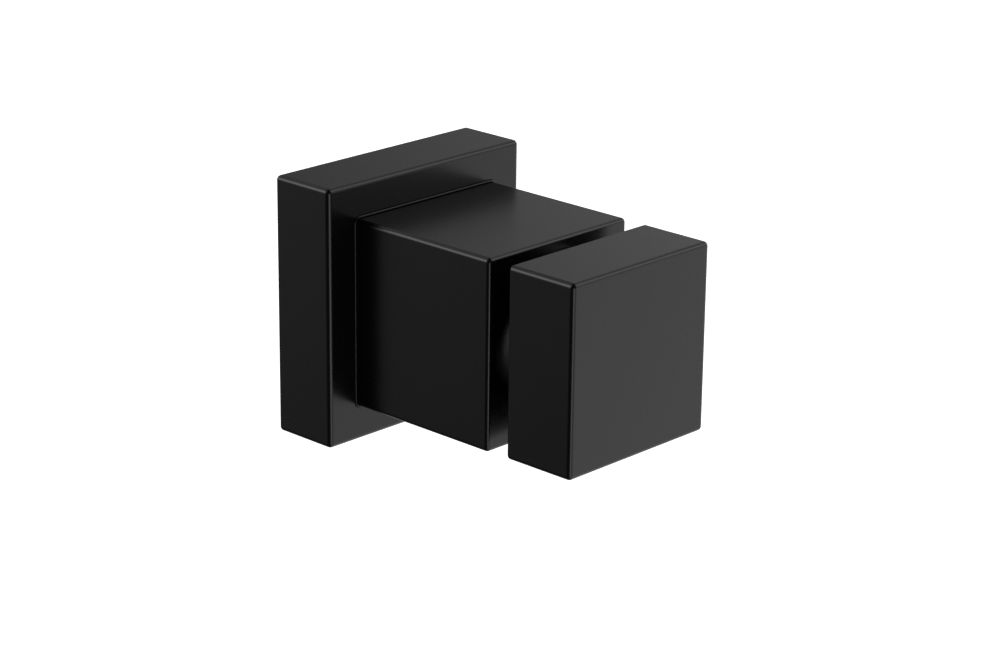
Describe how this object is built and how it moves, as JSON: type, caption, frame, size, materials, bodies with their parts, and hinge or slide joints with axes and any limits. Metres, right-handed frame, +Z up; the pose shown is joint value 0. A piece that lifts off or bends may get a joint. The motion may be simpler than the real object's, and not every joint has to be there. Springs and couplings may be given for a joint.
{
  "type": "concealed stop valve trim",
  "caption": "Square wall-mounted trim of a concealed stop valve, with a flange, a sleeve and a turning square knob on a screw-down headwork whose plug moves as the knob turns.",
  "frame": {"origin": "centre of the flange's back, on the finished wall and on the valve's axis", "axes": "+Z up; the valve's axis is the Y axis and the knob points along -Y, out of the wall"},
  "size_m": [0.06, 0.1046, 0.06],
  "materials": {
    "black_coat": "matt black coat on cast and drawn metal",
    "black_cap": "moulded matt black",
    "gasket_foam": "cut closed-cell foam",
    "seal_rubber": "moulded rubber",
    "natural_plastic": "moulded, natural colour",
    "turned_brass": "turned",
    "gasket_fibre": "punched fibre",
    "plain_steel": "plain machined"
  },
  "bodies": {
    "trim": {"wall_flange": "black_coat", "wall_gasket": "gasket_foam", "sleeve_seal": "seal_rubber", "square_sleeve": "black_coat", "sleeve_spacer": "natural_plastic", "retaining_collar": "black_coat", "collar_oring": "seal_rubber", "support_tube": "turned_brass", "tube_locknut": "turned_brass", "guide_bush": "natural_plastic", "headwork_body": "turned_brass", "headwork_gasket": "gasket_fibre", "thrust_washer": "natural_plastic"},
    "knob": {"knob_shell": "black_coat", "knob_insert": "natural_plastic", "set_screw": "plain_steel", "screw_cap": "black_cap", "spindle_extension": "turned_brass", "extension_screw": "plain_steel", "lock_washer": "plain_steel", "spindle": "turned_brass", "spindle_orings": "seal_rubber", "spindle_circlip": "plain_steel"},
    "plug": {"plug_carrier": "turned_brass", "valve_washer": "seal_rubber", "washer_cup": "turned_brass", "washer_screw": "turned_brass"}
  },
  "joints": [
    {"name": "knob_turn", "type": "hinge", "parent": "trim", "child": "knob", "pos_m": [0, 0, 0], "axis": [0, -1, 0], "range_deg": [0, 900]},
    {"name": "plug_slide", "type": "slide", "parent": "trim", "child": "plug", "axis": [0, -1, 0], "range_m": [0, 0.005]}
  ],
  "couplings": [
    {"joint": "plug_slide", "follows": "knob_turn", "m_per_rad": 0.0003183}
  ]
}
